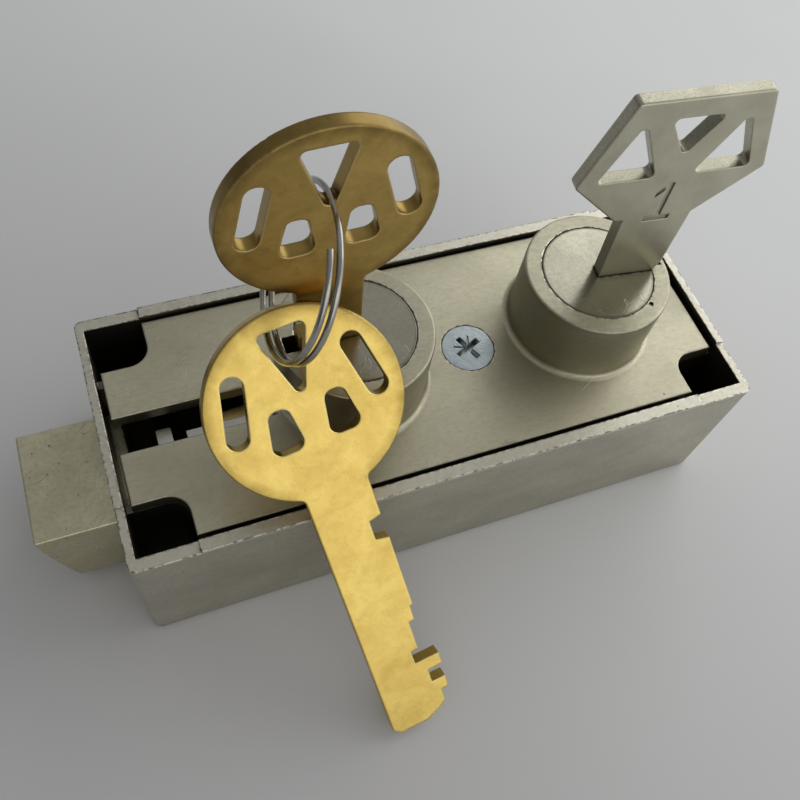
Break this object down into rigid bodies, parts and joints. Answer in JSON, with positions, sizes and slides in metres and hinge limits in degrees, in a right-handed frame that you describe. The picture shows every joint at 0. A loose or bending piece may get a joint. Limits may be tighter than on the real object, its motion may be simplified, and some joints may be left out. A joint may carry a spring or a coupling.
{
  "type": "dual key safe lock",
  "caption": "Lever lock for a safe deposit box: a renter key and a guard key turn together to draw the bolt; keys and a spare on a ring included.",
  "frame": {"origin": "centre of the case's flat back", "axes": "+X along the case away from the bolt, +Y towards the case's rear long side, +Z from the back towards the noses and keys"},
  "size_m": [0.1238, 0.0766, 0.0861],
  "materials": {
    "case_cast": "satin nickel plate on a zinc casting, worn",
    "cover_cast": "satin nickel plate on a zinc casting, lightly pitted",
    "screw_zinc": "bright zinc plate",
    "bolt_metal": "worn nickel plate with rubbed pits",
    "plug_face": "polished face",
    "renter_key_brass": "dull handled brass",
    "spare_key_brass": "satin brass with soft edges",
    "guard_key_nickel": "brushed nickel silver",
    "ring_steel": "bright nickel plate",
    "inner_cast": "plain cast zinc",
    "inner_steel": "turned steel",
    "inner_brass": "turned brass",
    "lever_plate": "sheet steel",
    "lever_brass": "stamped brass",
    "spring_bronze": "phosphor bronze strip"
  },
  "bodies": {
    "lock_body": {"case": "case_cast", "cover_plate": "cover_cast", "cover_screw": "screw_zinc", "renter_pivot_post": "inner_brass", "guard_pivot_post": "inner_brass", "renter_stop_pin": "inner_steel", "guard_stop_pin": "inner_steel", "renter_lever_plate": "lever_plate", "guard_lever_plate": "lever_plate"},
    "renter_drive": {"renter_plug": "plug_face", "renter_key": "renter_key_brass", "drive_cam": "inner_cast", "crank_pin": "inner_steel"},
    "guard_drive": {"guard_plug": "plug_face", "guard_key": "guard_key_nickel"},
    "bolt_assembly": {"bolt": "bolt_metal", "renter_fence": "inner_steel", "guard_fence": "inner_steel"},
    "ring": {"key_ring": "ring_steel"},
    "spare": {"spare_key": "spare_key_brass"},
    "renter_lever_1_set": {"renter_lever_1": "lever_brass", "renter_spring_1": "spring_bronze"},
    "renter_lever_2_set": {"renter_lever_2": "lever_brass", "renter_spring_2": "spring_bronze"},
    "renter_lever_3_set": {"renter_lever_3": "lever_brass", "renter_spring_3": "spring_bronze"},
    "renter_lever_4_set": {"renter_lever_4": "lever_brass", "renter_spring_4": "spring_bronze"},
    "renter_lever_5_set": {"renter_lever_5": "lever_brass", "renter_spring_5": "spring_bronze"},
    "guard_lever_1_set": {"guard_lever_1": "lever_brass", "guard_spring_1": "spring_bronze"},
    "guard_lever_2_set": {"guard_lever_2": "lever_brass", "guard_spring_2": "spring_bronze"},
    "guard_lever_3_set": {"guard_lever_3": "lever_brass", "guard_spring_3": "spring_bronze"},
    "guard_lever_4_set": {"guard_lever_4": "lever_brass", "guard_spring_4": "spring_bronze"}
  },
  "joints": [
    {"name": "bolt_slide", "type": "slide", "parent": "lock_body", "child": "bolt_assembly", "axis": [1, 0, 0], "range_m": [0, 0.01329]},
    {"name": "renter_turn", "type": "hinge", "parent": "lock_body", "child": "renter_drive", "pos_m": [-0.013, 0.0006, 0.0429], "axis": [0, 0, -1], "range_deg": [0, 90]},
    {"name": "guard_turn", "type": "hinge", "parent": "lock_body", "child": "guard_drive", "pos_m": [0.0306, 0.0006, 0.0429], "axis": [0, 0, -1], "range_deg": [0, 83.5]},
    {"name": "key_ring_swing", "type": "hinge", "parent": "renter_drive", "child": "ring", "pos_m": [-0.02339, -0.00225, 0.064], "axis": [-0.9285, 0.1232, 0.3502], "range_deg": [0, 20]},
    {"name": "spare_key_swing", "type": "hinge", "parent": "ring", "child": "spare", "pos_m": [-0.02849, -0.00447, 0.05352], "axis": [-0.0579, -0.9697, 0.2374], "range_deg": [0, 30]},
    {"name": "renter_lever_1_lift", "type": "hinge", "parent": "lock_body", "child": "renter_lever_1_set", "pos_m": [0.0029, 0.0082, 0.0184], "axis": [0, 0, -1], "range_deg": [0, 5.5]},
    {"name": "renter_lever_2_lift", "type": "hinge", "parent": "lock_body", "child": "renter_lever_2_set", "pos_m": [0.0029, 0.0082, 0.0184], "axis": [0, 0, -1], "range_deg": [0, 5.5]},
    {"name": "renter_lever_3_lift", "type": "hinge", "parent": "lock_body", "child": "renter_lever_3_set", "pos_m": [0.0029, 0.0082, 0.0184], "axis": [0, 0, -1], "range_deg": [0, 5.5]},
    {"name": "renter_lever_4_lift", "type": "hinge", "parent": "lock_body", "child": "renter_lever_4_set", "pos_m": [0.0029, 0.0082, 0.0184], "axis": [0, 0, -1], "range_deg": [0, 5.5]},
    {"name": "renter_lever_5_lift", "type": "hinge", "parent": "lock_body", "child": "renter_lever_5_set", "pos_m": [0.0029, 0.0082, 0.0184], "axis": [0, 0, -1], "range_deg": [0, 5.5]},
    {"name": "guard_lever_1_lift", "type": "hinge", "parent": "lock_body", "child": "guard_lever_1_set", "pos_m": [0.0465, -0.007, 0.0196], "axis": [0, 0, 1], "range_deg": [0, 5.5]},
    {"name": "guard_lever_2_lift", "type": "hinge", "parent": "lock_body", "child": "guard_lever_2_set", "pos_m": [0.0465, -0.007, 0.0196], "axis": [0, 0, 1], "range_deg": [0, 5.5]},
    {"name": "guard_lever_3_lift", "type": "hinge", "parent": "lock_body", "child": "guard_lever_3_set", "pos_m": [0.0465, -0.007, 0.0196], "axis": [0, 0, 1], "range_deg": [0, 5.5]},
    {"name": "guard_lever_4_lift", "type": "hinge", "parent": "lock_body", "child": "guard_lever_4_set", "pos_m": [0.0465, -0.007, 0.0196], "axis": [0, 0, 1], "range_deg": [0, 5.5]}
  ],
  "couplings": [
    {"joint": "renter_turn", "follows": "bolt_slide", "rad_per_m": 118.19},
    {"joint": "guard_turn", "follows": "bolt_slide", "rad_per_m": 109.66},
    {"joint": "key_ring_swing", "follows": "bolt_slide", "rad_per_m": 26.265},
    {"joint": "spare_key_swing", "follows": "bolt_slide", "rad_per_m": 39.397},
    {"joint": "renter_lever_1_lift", "follows": "bolt_slide", "rad_per_m": 7.222},
    {"joint": "renter_lever_2_lift", "follows": "bolt_slide", "rad_per_m": 7.222},
    {"joint": "renter_lever_3_lift", "follows": "bolt_slide", "rad_per_m": 7.222},
    {"joint": "renter_lever_4_lift", "follows": "bolt_slide", "rad_per_m": 7.222},
    {"joint": "renter_lever_5_lift", "follows": "bolt_slide", "rad_per_m": 7.222},
    {"joint": "guard_lever_1_lift", "follows": "bolt_slide", "rad_per_m": 7.222},
    {"joint": "guard_lever_2_lift", "follows": "bolt_slide", "rad_per_m": 7.222},
    {"joint": "guard_lever_3_lift", "follows": "bolt_slide", "rad_per_m": 7.222},
    {"joint": "guard_lever_4_lift", "follows": "bolt_slide", "rad_per_m": 7.222}
  ]
}
